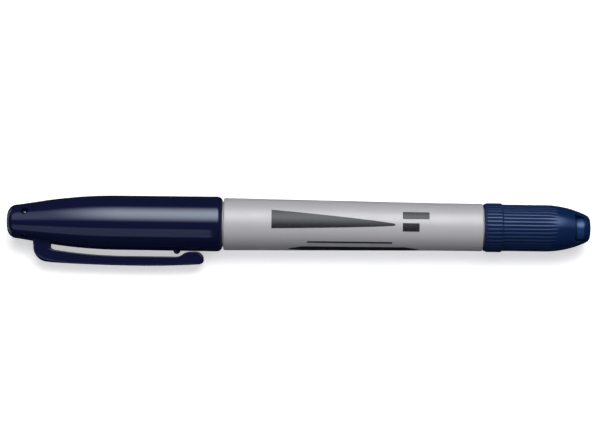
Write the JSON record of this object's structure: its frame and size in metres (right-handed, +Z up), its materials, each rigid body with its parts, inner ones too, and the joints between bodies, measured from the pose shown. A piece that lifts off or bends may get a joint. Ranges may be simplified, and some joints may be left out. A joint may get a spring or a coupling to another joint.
{
  "type": "felt tip marker",
  "caption": "Twin-tip felt marker: tapered barrel, long cap with sprung clip over a bullet nib, short ribbed cap over a fine nib. Caps pull off, clip flexes.",
  "frame": {"origin": "on the ground under the middle of the marker as it lies on its long cap and its clip", "axes": "+X along the marker from the long cap's crown to the short cap's nose, +Z up, the clip on the -Y side"},
  "size_m": [0.14, 0.0168, 0.0132],
  "materials": {
    "barrel_plastic": "satin light grey",
    "section_plastic": "satin grey",
    "nib_fibre": "pressed fibre soaked with dark blue ink",
    "reservoir_fibre": "bundled fibre soaked with ink",
    "reservoir_film": "thin clear film",
    "ferrule_plastic": "smooth light grey",
    "cap_plastic": "polished navy",
    "grip_plastic": "semi-matte navy",
    "liner_plastic": "semi-matte navy"
  },
  "bodies": {
    "barrel_body": {"barrel": "barrel_plastic", "fine_tip_section": "section_plastic", "fine_nib": "nib_fibre", "ink_reservoir": "reservoir_fibre", "reservoir_film": "reservoir_film", "ultra_fine_section": "section_plastic", "ultra_fine_ferrule": "ferrule_plastic", "ultra_fine_nib": "nib_fibre"},
    "main_cap": {"main_cap_shell": "cap_plastic", "main_cap_liner": "liner_plastic"},
    "clip": {"clip_arm": "cap_plastic"},
    "small_cap": {"small_cap_shell": "grip_plastic", "small_cap_liner": "liner_plastic"}
  },
  "joints": [
    {"name": "main_cap_pull", "type": "slide", "parent": "barrel_body", "child": "main_cap", "axis": [-1, 0, 0], "range_m": [0, 0.04]},
    {"name": "clip_flex", "type": "hinge", "parent": "main_cap", "child": "clip", "pos_m": [-0.0578, -0.00566, 0.00292], "axis": [0, 0.4427, -0.8967], "range_deg": [0, 4], "stiffness_Nm_per_rad": 2.3},
    {"name": "small_cap_pull", "type": "slide", "parent": "barrel_body", "child": "small_cap", "axis": [1, 0, 0], "range_m": [0, 0.026]}
  ]
}
